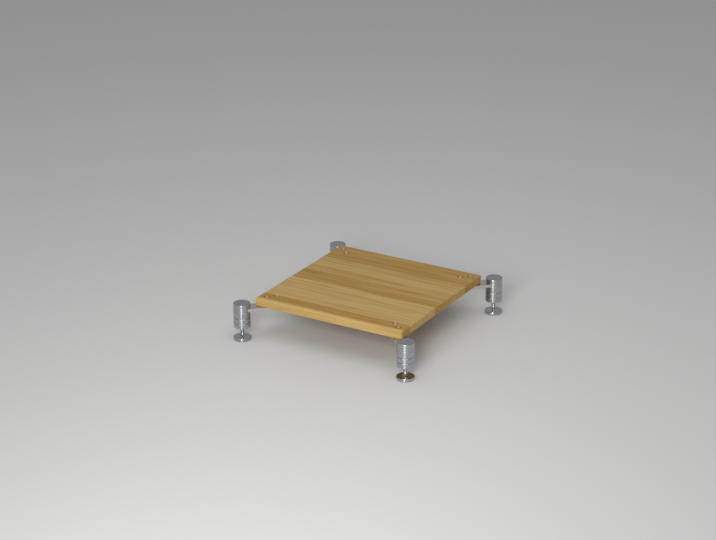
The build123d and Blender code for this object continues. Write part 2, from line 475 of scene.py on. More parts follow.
@dataclass(frozen=True)
class OiledOak(Finish):
    """Oak staves, edge-glued, planed, sanded and oiled: warm gold with darker heart staves,
    growth rings that run on from the top into the ends, open pores and a low satin sheen."""

    depth: float                       # of the whole board, front to back, in millimetres
    middle_level: float                # of the board's middle, above the floor
    light: str = "#C2A468"
    dark: str = "#A88240"
    ring_colour: str = "#8E6730"
    pore_colour: str = "#6E4C22"
    # How much of the dark colour each stave has, from the front one to the back one
    stave_tones: tuple[float, ...] = (
        0.15, 0.95, 0.15, 0.05, 0.25, 0.1, 0.85, 0.75, 0.5, 0.2, 0.35, 0.95, 0.8, 0.6
    )
    stave_width: float = 37.0
    first_stave: float = 10.0          # what the trimming saw left of the front one
    stave_shift: float = 3.0           # metres, at most, between one stave's grain and another's
    ring_spacing: float = 5.0          # wider than real oak's 2 to 3, to show from a few steps away
    ring_share: float = 0.36           # of the ring's colour where the late wood is darkest
    # The darkness through one year's ring: place in the ring, then level
    ring_profile: tuple[Point, ...] = (
        (0.0, 0.35), (0.16, 0.0), (0.62, 0.22), (0.9, 1.0), (1.0, 0.35)
    )
    pith_depth: float = 52.0           # from the board's middle down to the log's heart
    pith_spread: float = 46.0          # how far a stave's middle lies from over the heart
    wander_length: float = 260.0       # along the grain, over which the rings drift
    wander_width: float = 30.0
    wander: float = 11.0
    streak_length: float = 210.0
    streak_width: float = 9.0
    streak_depth: float = 0.4          # how far a streak shifts its stave's tone either way
    pore_length: float = 14.0
    pore_width: float = 0.9
    pore_share: float = 0.4
    streak_range: Point = (0.32, 0.68)     # of the noise, over which the streaks fade in
    pore_range: Point = (0.6, 0.75)
    bump_height: float = 0.12
    bump_share: float = 0.35
    roughness_low: float = 0.42
    roughness_high: float = 0.58
    gloss: float = 0.2
    ior: float = 1.45

    def shade(self, tree: Tree) -> Inputs:
        """Adds the staves, rings, streaks and pores."""
        place = find_place(tree)
        split = add_node(tree, "ShaderNodeSeparateXYZ", {0: place})
        count = len(self.stave_tones)
        panel = count * self.stave_width
        trimmed = self.stave_width - self.first_stave
        share = calculate(
            tree, "MULTIPLY_ADD", split.outputs["Y"], 1 / (panel * MM),
            (self.depth / 2 + trimmed) / panel,
        )
        levels = [(at / count, level) for at, level in enumerate(self.stave_tones)]
        tone = add_ramp(tree, share, "CONSTANT", levels)
        scaled = calculate(tree, "MULTIPLY", share, count)
        chance = add_node(
            tree, "ShaderNodeTexWhiteNoise",
            {"noise_dimensions": "1D", "W": calculate(tree, "FLOOR", scaled)},
        ).outputs["Color"]
        shift = (self.stave_shift,) * 3
        shifted = calculate(tree, "MULTIPLY_ADD", chance, shift, place, vector=True)
        rings = self.draw_rings(tree, split, scaled, chance, shifted)
        streaks = self.draw_streaks(tree, shifted, self.streak_length, self.streak_width)
        pores = self.draw_streaks(tree, shifted, self.pore_length, self.pore_width)
        height = calculate(tree, "MULTIPLY_ADD", rings, 0.5, pores)
        return {
            "Base Color": self.mix_colours(tree, tone, rings, streaks, pores),
            "Roughness": remap(tree, streaks, self.roughness_high, self.roughness_low),
            "Normal": bump(tree, height, self.bump_share, self.bump_height),
            "IOR": self.ior,
            "Specular IOR Level": self.gloss,
        }

    def draw_rings(
        self, tree: Tree, split: Node, scaled: Node, chance: Socket, shifted: Node
    ) -> Node:
        """Draws the growth rings round each stave's own heart.

        Args:
            tree: The material's tree.
            split: The point's X, Y and Z.
            scaled: The point's place across the board, counted in staves.
            chance: The stave's random numbers.
            shifted: The point, moved for its stave.

        Returns:
            0 in the pale early wood, up to 1 in the dark late wood.
        """
        within = calculate(tree, "FRACT", scaled)
        side = calculate(
            tree, "MULTIPLY_ADD", within, self.stave_width, -self.stave_width / 2
        )
        chances = add_node(tree, "ShaderNodeSeparateColor", {0: chance})
        heart = remap(tree, chances, -self.pith_spread, self.pith_spread)
        sideways = calculate(tree, "SUBTRACT", side, heart)
        level = calculate(
            tree, "MULTIPLY_ADD", split.outputs["Z"], 1 / MM, self.pith_depth - self.middle_level
        )
        stretched = stretch(tree, shifted, self.wander_length * MM, self.wander_width * MM)
        drift = add_noise(tree, stretched, detail=2.0, roughness=0.45)
        away = calculate(tree, "MULTIPLY_ADD", drift, self.wander, -self.wander / 2)
        flat = add_node(tree, "ShaderNodeCombineXYZ", {"X": sideways, "Y": level})
        reach = calculate(tree, "LENGTH", flat, vector=True).outputs["Value"]
        bent = calculate(tree, "ADD", reach, away)
        cycle = calculate(tree, "FRACT", calculate(tree, "DIVIDE", bent, self.ring_spacing))
        return add_ramp(tree, cycle, "EASE", self.ring_profile)

    def draw_streaks(self, tree: Tree, shifted: Node, length: float, width: float) -> Node:
        """Draws streaks along the grain, about 0.5, which end as dots on the ends."""
        stretched = stretch(tree, shifted, length * MM, width * MM)
        return add_noise(tree, stretched, detail=3.0, roughness=0.55)

    def mix_colours(self, tree: Tree, tone: Node, rings: Node, streaks: Node, pores: Node) -> Node:
        """Mixes the stave's own tone, its streaks, rings and pores into one colour."""
        depth = self.streak_depth
        uneven = remap(tree, streaks, -depth, depth, *self.streak_range)
        share = calculate(tree, "ADD", tone, uneven, clamp=True)
        base = mix(tree, share, linear(self.light), linear(self.dark))
        ringed = mix(
            tree, calculate(tree, "MULTIPLY", rings, self.ring_share), base,
            linear(self.ring_colour),
        )
        pore_share = remap(tree, pores, 0.0, self.pore_share, *self.pore_range)
        return mix(tree, pore_share, ringed, linear(self.pore_colour))


@dataclass(frozen=True)
class Metal(Finish):
    """A bare or plated metal."""

    colour: str
    roughness_low: float
    roughness_high: float
    anisotropy: float = 0.0
    bump_height: float = 0.01
    bump_share: float = 0.3            # how much of the relief shows

    def surface(self, tree: Tree, gloss: Node, relief: Node) -> Inputs:
        """The shader's inputs, from the noises that the roughness and the relief follow."""
        return {
            "Base Color": linear(self.colour),
            "Metallic": 1.0,
            "Roughness": remap(tree, gloss, self.roughness_low, self.roughness_high),
            "Normal": bump(tree, relief, self.bump_share, self.bump_height),
        }

    def worked(self, tree: Tree, attribute: str) -> Inputs:
        """The shader's inputs for working in the direction that an attribute holds."""
        values = {"vector_type": "VECTOR", "convert_from": "OBJECT", "convert_to": "WORLD"}
        values[0] = read(tree, attribute)
        return {
            "Tangent": add_node(tree, "ShaderNodeVectorTransform", values),
            "Anisotropic": self.anisotropy,
            "Anisotropic Rotation": QUARTER,
        }


@dataclass(frozen=True)
class TurnedMetal(Metal):
    """Metal turned on a lathe: the fine cuts run round the piece, so a lamp draws one sharp
    bright line along its length, and the cuts show as faint rings on its flats."""

    bump_height: float = 0.002
    bump_share: float = 0.5
    cut_spacing: float = 0.5           # real cuts are about 0.1 apart and wouldn't show
    blotch_size: float = 14.0          # of the polish's faint unevenness

    def shade(self, tree: Tree) -> Inputs:
        """Adds the cuts and the blotches."""
        cuts = add_node(tree, "ShaderNodeTexNoise", {
            "noise_dimensions": "1D",
            "W": read(tree, "across", "Fac"),
            "Scale": 1 / self.cut_spacing,
            "Detail": 2.0,
        })
        place = find_place(tree)
        blotches = add_noise(tree, place, 1 / (self.blotch_size * MM), detail=3.0)
        return self.surface(tree, blotches, cuts) | self.worked(tree, "around")


@dataclass(frozen=True)
class BrushedMetal(Metal):
    """Flat bar, brushed along its length and plated in satin nickel: soft long streaks and a
    sheen that spreads across the brushing."""

    anisotropy: float = 0.5
    bump_share: float = 0.4
    streak_length: float = 60.0
    streak_width: float = 0.7

    def shade(self, tree: Tree) -> Inputs:
        """Adds the brushing."""
        stretched = stretch(tree, read(tree, "bar"), self.streak_length, self.streak_width)
        streaks = add_noise(tree, stretched, detail=3.0)
        return self.surface(tree, streaks, streaks) | self.worked(tree, "along")


@dataclass(frozen=True)
class PlatedSteel(Metal):
    """Steel hardware as it comes from the plater or the tumbler: clean and bright, a little
    uneven in gloss from one patch to the next."""

    grit: float = 2.5

    def shade(self, tree: Tree) -> Inputs:
        """Adds the uneven patches."""
        place = find_place(tree)
        patches = add_noise(tree, place, 1 / (self.grit * MM), detail=4.0)
        return self.surface(tree, patches, patches)


@dataclass(frozen=True)
class MattRubber(Finish):
    """Black rubber sheet with a fine matt grain, cut to a disc."""

    colour: str = "#232324"
    worn_colour: str = "#38383A"
    grain: float = 1.2
    bump_height: float = 0.06
    bump_share: float = 0.6
    roughness_low: float = 0.7
    roughness_high: float = 0.88
    ior: float = 1.52

    def shade(self, tree: Tree) -> Inputs:
        """Adds the grain."""
        place = find_place(tree)
        grain = add_noise(tree, place, 1 / (self.grain * MM), detail=4.0)
        return {
            "Base Color": mix(tree, grain, linear(self.colour), linear(self.worn_colour)),
            "Roughness": remap(tree, grain, self.roughness_low, self.roughness_high),
            "Normal": bump(tree, grain, self.bump_share, self.bump_height),
            "IOR": self.ior,
        }


@dataclass(frozen=True)
class StudioPaint(Finish):
    """The studio floor's even, nearly matt paint."""

    colour: str = "#D2D2D0"
    roughness: float = 0.42
    gloss: float = 0.2                 # kept low, so that the lamps leave no glare on it

    def shade(self, tree: Tree) -> Inputs:
        """Gives the shader its fixed values. Nothing feeds it."""
        return {
            "Base Color": linear(self.colour),
            "Roughness": self.roughness,
            "Specular IOR Level": self.gloss,
        }


@dataclass
class Finishes:
    """Every finish on the stand, built once."""

    oak: Material
    chrome: Material
    mirror: Material
    satin: Material
    zinc: Material
    stainless: Material
    rubber: Material

    @classmethod
    def make(cls) -> "Finishes":
        """Builds the finishes, with the board's own size for its staves."""
        low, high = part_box("shelf_board")
        depth, middle = (high.y - low.y) / MM, (high.z + low.z) / 2 / MM
        finishes = (
            OiledOak("oiled oak, planed and sanded", depth, middle),
            TurnedMetal("chrome, turned and polished", "#B9BABC", 0.18, 0.22, 1.0),
            TurnedMetal("chrome, buffed to a mirror", "#BCBDBF", 0.08, 0.12, 0.5),
            BrushedMetal("satin nickel, brushed lengthwise", "#D6D4D0", 0.22, 0.34),
            PlatedSteel("steel, bright zinc plated", "#D2D4D8", 0.2, 0.34),
            PlatedSteel("stainless steel, tumbled", "#E4E0D8", 0.26, 0.42),
            MattRubber("black rubber sheet, matt"),
        )
        return cls(*(finish.build() for finish in finishes))


# Geometry node trees


def new_tree(name: str, inputs: Mapping[str, str]) -> tuple[Tree, Sequence[Socket]]:
    """Makes a geometry tree from each input's name and kind. Returns it and its inputs."""
    tree = bpy.data.node_groups.new(name, "GeometryNodeTree")
    for label, kind in ({"Geometry": "Geometry"} | dict(inputs)).items():
        tree.interface.new_socket(label, in_out="INPUT", socket_type=f"NodeSocket{kind}")
    tree.interface.new_socket("Geometry", in_out="OUTPUT", socket_type="NodeSocketGeometry")
    return tree, add_node(tree, "NodeGroupInput").outputs


def end_tree(tree: Tree, geometry: Node, material: Socket) -> Tree:
    """Ends a tree with a real mesh in one material, and gives the tree back."""
    real = add_node(tree, "GeometryNodeRealizeInstances", {"Geometry": geometry})
    values = {"Geometry": real, "Material": material}
    dressed = add_node(tree, "GeometryNodeSetMaterial", values)
    add_node(tree, "NodeGroupOutput", {"Geometry": dressed})
    return tree


def run_tree(piece: Piece, tree: Tree, values: Mapping[str, object]) -> None:
    """Runs a geometry tree, with a value for each named input, and keeps the plain mesh."""
    modifier = piece.modifiers.new(tree.name, "NODES")
    modifier.node_group = tree
    for item in tree.interface.items_tree:
        if item.in_out == "INPUT" and item.name in values:
            modifier[item.identifier] = values[item.name]
    make_plain(piece)


def make_pattern_tree() -> Tree:
    """Builds the tree that sets one piece of hardware in line along every arm.

    The arms lie on the diagonals. Each copy is turned by chance, as a fitter leaves it.
    """
    tree, given = new_tree("hardware along the arms", {
        "Hardware": "Object",
        "Arms": "Int",
        "On each arm": "Int",
        "Centre to column": "Float",
        "First": "Float",
        "Spacing": "Float",
        "Seed": "Int",
        "Material": "Material",
    })
    arms, on_arm = given["Arms"], given["On each arm"]
    count = calculate(tree, "MULTIPLY", arms, on_arm)
    index = add_node(tree, "GeometryNodeInputIndex")
    arm = calculate(tree, "FLOOR", calculate(tree, "DIVIDE", index, on_arm))
    step = calculate(tree, "MODULO", index, on_arm)
    turns = calculate(tree, "DIVIDE", calculate(tree, "ADD", arm, 0.5), arms)
    angle = calculate(tree, "MULTIPLY", turns, 2 * pi)
    inward = calculate(tree, "MULTIPLY_ADD", step, given["Spacing"], given["First"])
    reach = calculate(tree, "SUBTRACT", given["Centre to column"], inward)
    flat = add_node(tree, "ShaderNodeCombineXYZ", {"X": reach})
    values = {"rotation_type": "Z_AXIS", "Vector": flat, "Angle": angle}
    place = add_node(tree, "ShaderNodeVectorRotate", values)
    points = add_node(tree, "GeometryNodePoints", {"Count": count})
    placed = add_node(tree, "GeometryNodeSetPosition", {"Geometry": points, "Position": place})
    values = {"data_type": "FLOAT", "Min": 0.0, "Max": 2 * pi, "Seed": given["Seed"]}
    chance = add_node(tree, "FunctionNodeRandomValue", values)
    twist = add_node(tree, "ShaderNodeCombineXYZ", {"Z": chance})
    values = {"transform_space": "ORIGINAL", "Object": given["Hardware"]}
    source = add_node(tree, "GeometryNodeObjectInfo", values).outputs["Geometry"]
    values = {"Points": placed, "Instance": source, "Rotation": twist}
    copies = add_node(tree, "GeometryNodeInstanceOnPoints", values)
    return end_tree(tree, copies, given["Material"])


def make_thread_tree() -> Tree:
    """Builds the tree that cuts a right-hand screw thread into an upright round shank.

    Every point of the shank moves towards the axis by the thread's depth at its angle and
    level. The cut fades in and out over one pitch at its two ends.
    """
    crest, root = 0.06, 0.44           # pitches from the crest's middle to the flank's two ends
    on_shank = 0.05 * MM               # a point this near the shank's radius is cut
    tree, given = new_tree("screw thread", {
        "Axis": "Vector",
        "Pitch": "Float",
        "Depth": "Float",
        "Thread radius": "Float",
        "From": "Float",
        "To": "Float",
        "Material": "Material",
    })
    pitch = given["Pitch"]
    place = add_node(tree, "GeometryNodeInputPosition")
    offset = calculate(tree, "SUBTRACT", place, given["Axis"], vector=True)
    x, y, level = add_node(tree, "ShaderNodeSeparateXYZ", {0: offset}).outputs
    turns = calculate(tree, "DIVIDE", calculate(tree, "ARCTAN2", y, x), 2 * pi)
    climbs = calculate(tree, "DIVIDE", level, pitch)
    phase = calculate(tree, "SUBTRACT", climbs, turns)
    ramp = calculate(tree, "PINGPONG", phase, 0.5)
    groove = remap(tree, ramp, 0.0, 1.0, crest, root)
    start = calculate(tree, "SUBTRACT", level, given["From"])
    stop = calculate(tree, "SUBTRACT", given["To"], level)
    inside = calculate(tree, "MINIMUM", start, stop)
    fade = calculate(tree, "DIVIDE", inside, pitch, clamp=True)
    beside = add_node(tree, "ShaderNodeCombineXYZ", {"Z": level})
    outward = calculate(tree, "SUBTRACT", offset, beside, vector=True)
    radius = calculate(tree, "LENGTH", outward, vector=True).outputs["Value"]
    near = calculate(tree, "COMPARE", radius, given["Thread radius"], on_shank)
    amount = calculate(tree, "MULTIPLY", groove, fade)
    chosen = calculate(tree, "MULTIPLY", amount, near)
    inset = calculate(tree, "MULTIPLY", chosen, given["Depth"])
    inwards = calculate(tree, "MULTIPLY", inset, -1.0)
    away = calculate(tree, "NORMALIZE", outward, vector=True)
    move = calculate(tree, "SCALE", away, inwards, vector=True)
    values = {"Geometry": given["Geometry"], "Offset": move}
    moved = add_node(tree, "GeometryNodeSetPosition", values)
    return end_tree(tree, moved, given["Material"])


@dataclass(frozen=True)
class Thread:
    """A metric thread, cut into a turned shank by the screw-thread tree."""

    tree: Tree
    diameter: float
    pitch: float
    depth_share: float = 0.54          # of the pitch
    end_chamfer: float = 0.8           # of the shank that it is cut into
    rows_per_turn: int = 8
    segments: int = 48

    def rows(self, low: float, high: float) -> list[Point]:
        """The shank's outline between two levels, with a row for each step of the thread."""
        count = max(1, round((high - low) / self.pitch * self.rows_per_turn))
        return [(self.diameter / 2, low + (high - low) * row / count) for row in range(count + 1)]

    def rod(self, name: str, axis: Vector, low: float, high: float, tip: Sequence[Point]) -> Piece:
        """Turns a shank with the rows that the thread needs.

        Args:
            name: The object's name.
            axis: The point on the floor that its axis passes through.
            low: The level where the full shank starts.
            high: The shank's top.
            tip: What the outline has below the full shank, from the axis outwards. Where it
                is empty, the shank starts with a chamfer of its own.

        Returns:
            The turned shank, before its thread is cut.
        """
        edge = self.end_chamfer
        inner = self.diameter / 2 - edge
        start = low if tip else low + edge
        outline = [*(tip or [(0.0, low), (inner, low)]), *self.rows(start, high - edge)]
        return turn(name, outline + [(inner, high), (0.0, high)], axis, self.segments)

    def cut(self, rod: Piece, axis: Vector, low: float, high: float, material: Material) -> None:
        """Cuts the thread into a rod, between two levels, and sets the rod's material."""
        run_tree(rod, self.tree, {
            "Axis": axis,
            "Pitch": self.pitch * MM,
            "Depth": self.depth_share * self.pitch * MM,
            "Thread radius": self.diameter / 2 * MM,
            "From": low * MM,
            "To": high * MM,
            "Material": material,
        })


# Sub-assemblies


@dataclass
class ShelfBoard:
    """The oak board with a stepped and eased hole for each bolt."""

    finishes: Finishes
    bolts: "ShelfBolts"
    edge_round: float = 4.0
    corner_round: float = 2.5
    least_corner: float = 0.25         # where the edge's round has used the corner's up
    round_steps: int = 7
    rim_chamfer: float = 0.5           # of each hole's sharp edge

    def outline(self, inset: float) -> list[Point]:
        """The board's outline in metres, drawn in from its full size by so much."""
        low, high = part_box("shelf_board")
        corner = max(self.corner_round - inset, self.least_corner) * MM
        left, right = low.x + inset * MM + corner, high.x - inset * MM - corner
        front, back = low.y + inset * MM + corner, high.y - inset * MM - corner
        points = []
        for quarter, centre in enumerate(((right, back), (left, back), (left, front), (right, front))):
            points += arc(centre, corner, 90 * quarter, 90 * quarter + 90, self.round_steps)
        return points

    def slab(self, bottom: float, top: float) -> Piece:
        """Builds the board without its holes, between two levels."""
        steps = [
            (self.edge_round - x, self.edge_round - y)
            for x, y in arc((0.0, 0.0), self.edge_round, 0, 90, self.round_steps)
        ]
        layers = [(self.outline(inset), bottom + down) for inset, down in reversed(steps)]
        layers += [(self.outline(inset), top - down) for inset, down in steps]
        return stack("shelf_board_dressed", layers)

    def build(self) -> None:
        """Builds the board, cuts its holes and hands it over."""
        bottom, top = levels("shelf_board")
        board, step = self.slab(bottom, top), levels("shelf_bolt_washers")[0]
        wide, narrow = self.bolts.counterbore / 2, self.bolts.hole / 2
        plug = turn("board plug", [
            (0.0, bottom - CLEAR),
            (narrow + CLEAR + self.rim_chamfer, bottom - CLEAR),
            (narrow, bottom + self.rim_chamfer),
            (narrow, step),
            (wide, step),
            (wide, top - self.rim_chamfer),
            (wide + CLEAR + self.rim_chamfer, top + CLEAR),
            (0.0, top + CLEAR),
        ], segments=COARSE)
        cut(board, self.bolts.repeat("board plugs", plug, self.finishes.oak))
        smooth(board)
        hand_over(board, FRAME_BODY, Slot.WOOD, self.finishes.oak, "shelf_board")


@dataclass
class ShelfBolts:
    """The eight socket-head bolts that hold the board down, and their washers."""

    finishes: Finishes
    tree: Tree
    first: float = 75.0                # from the column's axis to the outer bolt
    spacing: float = 30.5
    on_each_arm: int = 2
    diameter: float = 6.0
    end_chamfer: float = 0.6
    hole: float = 6.5                  # in the board and the washer
    counterbore: float = 17.0
    head_diameter: float = 10.0
    head_height: float = 6.0
    head_round: float = 0.7
    head_chamfer: float = 0.3          # of its lower edge, and above the knurl
    knurl_depth: float = 0.18
    knurl_ridges: int = 36
    socket_flats: float = 5.0
    socket_depth: float = 3.0
    washer_diameter: float = 12.0
    seed: int = 5

    def repeat(self, name: str, hardware: Piece, material: Material) -> Piece:
        """Sets one piece of hardware along every arm, as one mesh.

        Args:
            name: The new object's name.
            hardware: The piece to repeat, made on the frame's own axis. It is thrown away.
            material: The material of the copies.
        """
        piece = add_object(name, bpy.data.meshes.new(name))
        run_tree(piece, self.tree, {
            "Hardware": hardware,
            "Arms": len(Corner),
            "On each arm": self.on_each_arm,
            "Centre to column": Corner.FRONT_RIGHT.axis().length,
            "First": self.first * MM,
            "Spacing": self.spacing * MM,
            "Seed": self.seed,
            "Material": material,
        })
        bpy.data.objects.remove(hardware)
        return piece

    def bolt(self) -> Piece:
        """Builds one bolt on the frame's axis: knurled head, hexagon socket and shank."""
        bottom, top = levels("shelf_bolts")
        seat, crown = top - self.head_height, top - self.head_round
        shank, head = self.diameter / 2, self.head_diameter / 2
        outline = [(0.0, bottom), (shank - self.end_chamfer, bottom)]
        outline += [(shank, bottom + self.end_chamfer), (shank, seat)]
        outline += [(head - self.head_chamfer, seat), (head, seat + self.head_chamfer)]
        outline += [(head, crown - self.head_chamfer)]
        outline += arc((head - self.head_round, crown), self.head_round, 0, 90, 4)
        bolt = turn("bolt", outline + [(0.0, top)], segments=2 * self.knurl_ridges)
        for vertex in bolt.data.vertices:
            radius = hypot(vertex.co.x, vertex.co.y) / MM
            on_side = seat < vertex.co.z / MM < crown and abs(radius - head) < KNURL_REACH
            ridge = round(atan2(vertex.co.y, vertex.co.x) / (pi / self.knurl_ridges))
            if on_side and ridge % 2:
                vertex.co.xy *= 1 - self.knurl_depth / head
        depth = (top - self.socket_depth, top + CLEAR)
        cut(bolt, hexagon("socket", Vector(), self.socket_flats, Vector((1, 0, 0)), depth))
        mouth = self.socket_flats / 2 / cos(pi / 6)
        lead = [(0.0, top - mouth), (mouth + CLEAR, top + CLEAR), (0.0, top + CLEAR)]
        return cut(bolt, turn("socket lead", lead, segments=COARSE))

    def build(self) -> None:
        """Builds every bolt and washer and hands them over."""
        outline = washer_outline(levels("shelf_bolt_washers"), self.hole, self.washer_diameter)
        washer = turn("washer", outline, segments=COARSE, ring=True)
        for hardware, node in ((self.bolt(), "shelf_bolts"), (washer, "shelf_bolt_washers")):
            piece = self.repeat(f"{node}_dressed", hardware, self.finishes.stainless)
            smooth(piece)
            hand_over(piece, FRAME_BODY, Slot.BOLT, self.finishes.stainless, node)


def washer_outline(height: Point, hole: float, diameter: float) -> list[Point]:
    """The closed outline of a flat washer between two levels, from its two diameters."""
    low, high = height
    edge, rim = WASHER_ROUND, diameter / 2 - WASHER_ROUND
    outline = [(hole / 2, low)]
    outline += arc((rim, low + edge), edge, -90, 0, 3) + arc((rim, high - edge), edge, 0, 90, 3)
    return outline + [(hole / 2, high)]


@dataclass
class CornerPart:
    """Something that stands or lies at one corner."""

    finishes: Finishes
    corner: Corner

    def levels(self, piece: str) -> Point:
        """The lowest and highest level of one of the corner's pieces."""
        return levels(self.corner.node(piece))

    def lathe(
        self, piece: str, outline: Sequence[Point], segments: int = FINE, ring: bool = False
    ) -> Piece:
        """Turns one of the corner's pieces about the column's axis."""
        name = self.corner.node(f"{piece}_dressed")
        return turn(name, outline, self.corner.axis(), segments, ring)

    def deliver(self, piece: Piece, body: str, slot: Slot, material: Material, node: str) -> None:
        """Finishes a turned piece and hands it over. Chrome is buffed where it lies level."""
        smooth(piece)
        mark_turned(piece, self.corner.axis())
        hand_over(piece, body, slot, material, self.corner.node(node))
        if slot is Slot.CHROME:
            refinish(piece, self.finishes.mirror, lambda face: abs(face.normal.z) > LEVEL_SHARE)


@dataclass
class Arm(CornerPart):
    """One flat bar: a round eye in the column, and two tapped holes under the board."""

    width: float = 41.0
    reach: float = 128.0               # from the column's axis to the inner end
    eye_diameter: float = 50.0
    end_round: float = 7.0
    edge_break: float = 0.6
    edge_steps: int = 3
    stud_hole: float = 12.5
    bolt_hole: float = 6.1
    bolt_places: tuple[float, ...] = (75.0, 105.5)
    arc_steps: int = 40

    def outline(self) -> list[Point]:
        """The bar's outline: X is the distance from the column, Y the side, in millimetres."""
        eye, half, steps = self.eye_diameter / 2, self.width / 2, self.edge_steps * 3
        open_angle = degrees(asin(half / eye))
        inner, side = self.reach - self.end_round, half - self.end_round
        points = arc((0.0, 0.0), eye, open_angle, 360 - open_angle, self.arc_steps)
        points += arc((inner, -side), self.end_round, -90, 0, steps)
        return points + arc((inner, side), self.end_round, 0, 90, steps)

    def build(self) -> None:
        """Builds the bar, marks its brushing and hands it over."""
        axis, inward = self.corner.axis(), self.corner.inward()
        sideways = Vector((-inward.y, inward.x, 0.0))
        low, high = self.levels("arm")
        points = [(axis + (inward * x + sideways * y) * MM).xy for x, y in self.outline()]
        bar = stack(self.corner.node("arm_dressed"), [(points, low), (points, high)])
        with editing(bar) as form:
            rims = [edge for edge in form.edges if abs(edge.verts[0].co.z - edge.verts[1].co.z) < WELD]
            bmesh.ops.bevel(
                form, geom=rims, offset=self.edge_break * MM, segments=self.edge_steps,
                profile=0.5, affect="EDGES",
            )
        start, stop = low - CLEAR, high + CLEAR
        holes = [(0.0, self.stud_hole)] + [(place, self.bolt_hole) for place in self.bolt_places]
        for distance, hole in holes:
            outline = [(0.0, start), (hole / 2, start), (hole / 2, stop), (0.0, stop)]
            cut(bar, turn("drill", outline, axis + inward * distance * MM, COARSE))
        smooth(bar)

        def on_bar(place: Vector) -> Vector:
            """A point's distance along the bar, across it and above the floor."""
            offset = (place - axis) / MM
            return Vector((offset @ inward, offset @ sideways, offset.z))

        def on_rim(face: Face) -> bool:
            """Whether a face is on the eye's rim, which is turned flush with the column."""
            far = (face.center - axis).xy.length / MM - self.eye_diameter / 2
            return abs(far) < RIM_REACH and abs(face.normal.z) < UPRIGHT_SHARE

        store(bar, "along", "FLOAT_VECTOR", lambda place: inward)
        store(bar, "bar", "FLOAT_VECTOR", on_bar)
        mark_turned(bar, axis)
        hand_over(bar, FRAME_BODY, Slot.SATIN, self.finishes.satin, self.corner.node("arm"))
        refinish(bar, self.finishes.chrome, on_rim)


@dataclass
class Column(CornerPart):
    """One chrome column: the cap over the arm's eye, the grooved pillar below it, and the
    stud inside that draws them together."""

    thread: Thread
    diameter: float = 50.0
    top_round: float = 1.0
    edge_break: float = 0.6
    grooves: tuple[float, ...] = (14.5, 30.0)    # above the pillar's underside
    groove_half: float = 1.1           # half its width, and its depth
    groove_floor_round: float = 0.25
    lip: float = 0.18                  # the lathe's burr is taken off each groove's lips
    hole_play: float = 0.05
    hole_spare: float = 1.5            # of each blind hole past what screws into it

    def lower_edge(self, low: float, roof: float) -> list[Point]:
        """The outline of a blind hole from below and of the broken edge round it."""
        radius, play = self.diameter / 2, self.thread.diameter / 2 + self.hole_play
        outline = [(0.0, roof), (play, roof), (play, low), (radius - self.edge_break, low)]
        return outline + [(radius, low + self.edge_break)]

    def cap(self) -> Piece:
        """Builds the cap: a flat mirror top with a small round, and a blind hole below."""
        low, high = self.levels("cap")
        roof = self.levels("stud")[1] + self.hole_spare
        centre = (self.diameter / 2 - self.top_round, high - self.top_round)
        outline = self.lower_edge(low, roof) + arc(centre, self.top_round, 0, 90, 6)
        return self.lathe("cap", outline + [(0.0, high)])

    def groove(self, level: float) -> list[Point]:
        """The outline of one V groove, with eased lips and a rounded floor, going up."""
        radius, half, lip = self.diameter / 2, self.groove_half, self.lip
        floor = self.groove_floor_round
        lower = [
            (radius, -half - lip), (radius - lip / 3, -half), (radius - half + floor, -floor)
        ]
        upper = [(reach, -rise) for reach, rise in reversed(lower)]
        middle = [(radius - half + floor / 3, 0.0)]
        return [(reach, level + rise) for reach, rise in lower + middle + upper]

    def pillar(self) -> Piece:
        """Builds the pillar: two grooves, broken edges and a blind hole in each end."""
        radius, play = self.diameter / 2, self.thread.diameter / 2 + self.hole_play
        low, high = self.levels("pillar")
        roof = self.levels("spike")[1] + self.hole_spare
        floor = self.levels("stud")[0] - self.hole_spare
        outline = self.lower_edge(low, roof)
        for place in self.grooves:
            outline += self.groove(low + place)
        outline += [(radius, high - self.edge_break), (radius - self.edge_break, high)]
        return self.lathe("pillar", outline + [(play, high), (play, floor), (0.0, floor)])

    def build(self) -> None:
        """Builds the column's pieces and hands them over."""
        self.deliver(self.cap(), FRAME_BODY, Slot.CHROME, self.finishes.chrome, "cap")
        self.deliver(self.pillar(), FRAME_BODY, Slot.CHROME, self.finishes.chrome, "pillar")
        axis, node, zinc = self.corner.axis(), self.corner.node("stud"), self.finishes.zinc
        low, high = levels(node)
        stud = self.thread.rod(f"{node}_dressed", axis, low, high, [])
        self.thread.cut(stud, axis, low, high, zinc)
        self.deliver(stud, FRAME_BODY, Slot.PLATED, zinc, "stud")


